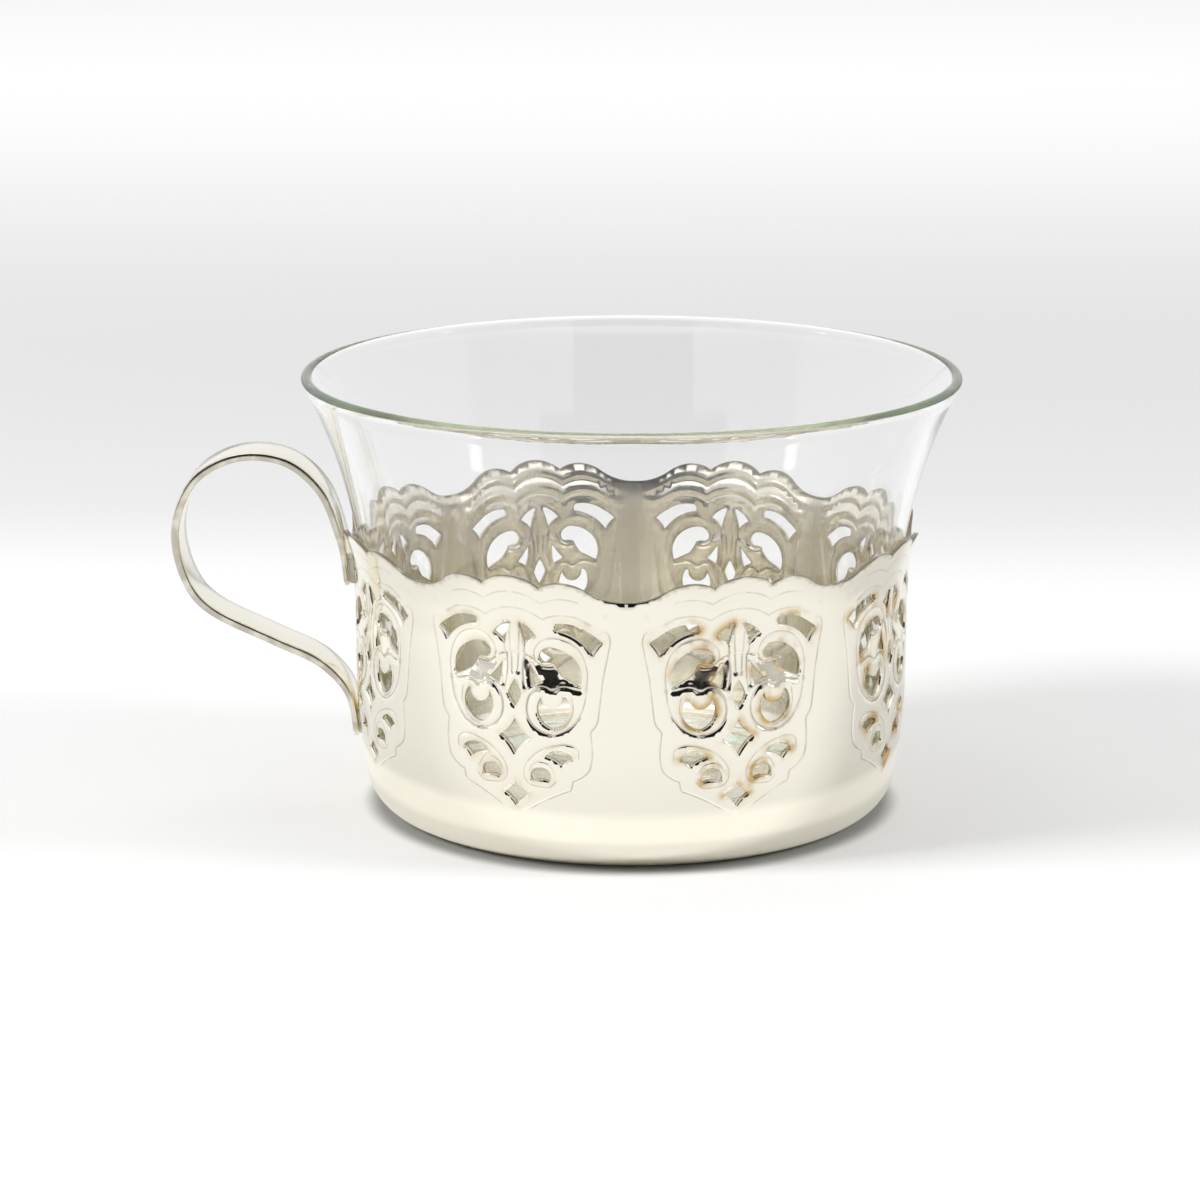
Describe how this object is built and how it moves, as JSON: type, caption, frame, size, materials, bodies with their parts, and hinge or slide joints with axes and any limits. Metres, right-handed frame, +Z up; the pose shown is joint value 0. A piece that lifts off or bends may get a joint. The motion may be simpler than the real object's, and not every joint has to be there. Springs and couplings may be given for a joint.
{
  "type": "podstakannik tea glass holder",
  "caption": "Pierced silver-plated sheet holder with a flat strap handle, and the loose flared tea glass that stands in it.",
  "frame": {"origin": "on the holder's axis, in the plane of its foot", "axes": "+Z up along the holder's axis, -X towards the handle, so X is the longest extent and Z the shortest"},
  "size_m": [0.1081, 0.09, 0.0605],
  "materials": {
    "shell_silver": "polished silver plate with a warm tone and light wear",
    "strap_silver": "polished silver plate with fine scratches",
    "solder": "dull soft solder",
    "clear_glass": "clear, with a faint green edge"
  },
  "bodies": {
    "holder": {"holder_shell": "shell_silver", "handle_strap": "strap_silver", "upper_solder_joint": "solder", "lower_solder_joint": "solder"},
    "glass": {"glass_insert": "clear_glass"}
  },
  "joints": [
    {"name": "glass_lift", "type": "slide", "parent": "holder", "child": "glass", "axis": [0, 0, 1], "range_m": [0, 0.045]}
  ]
}
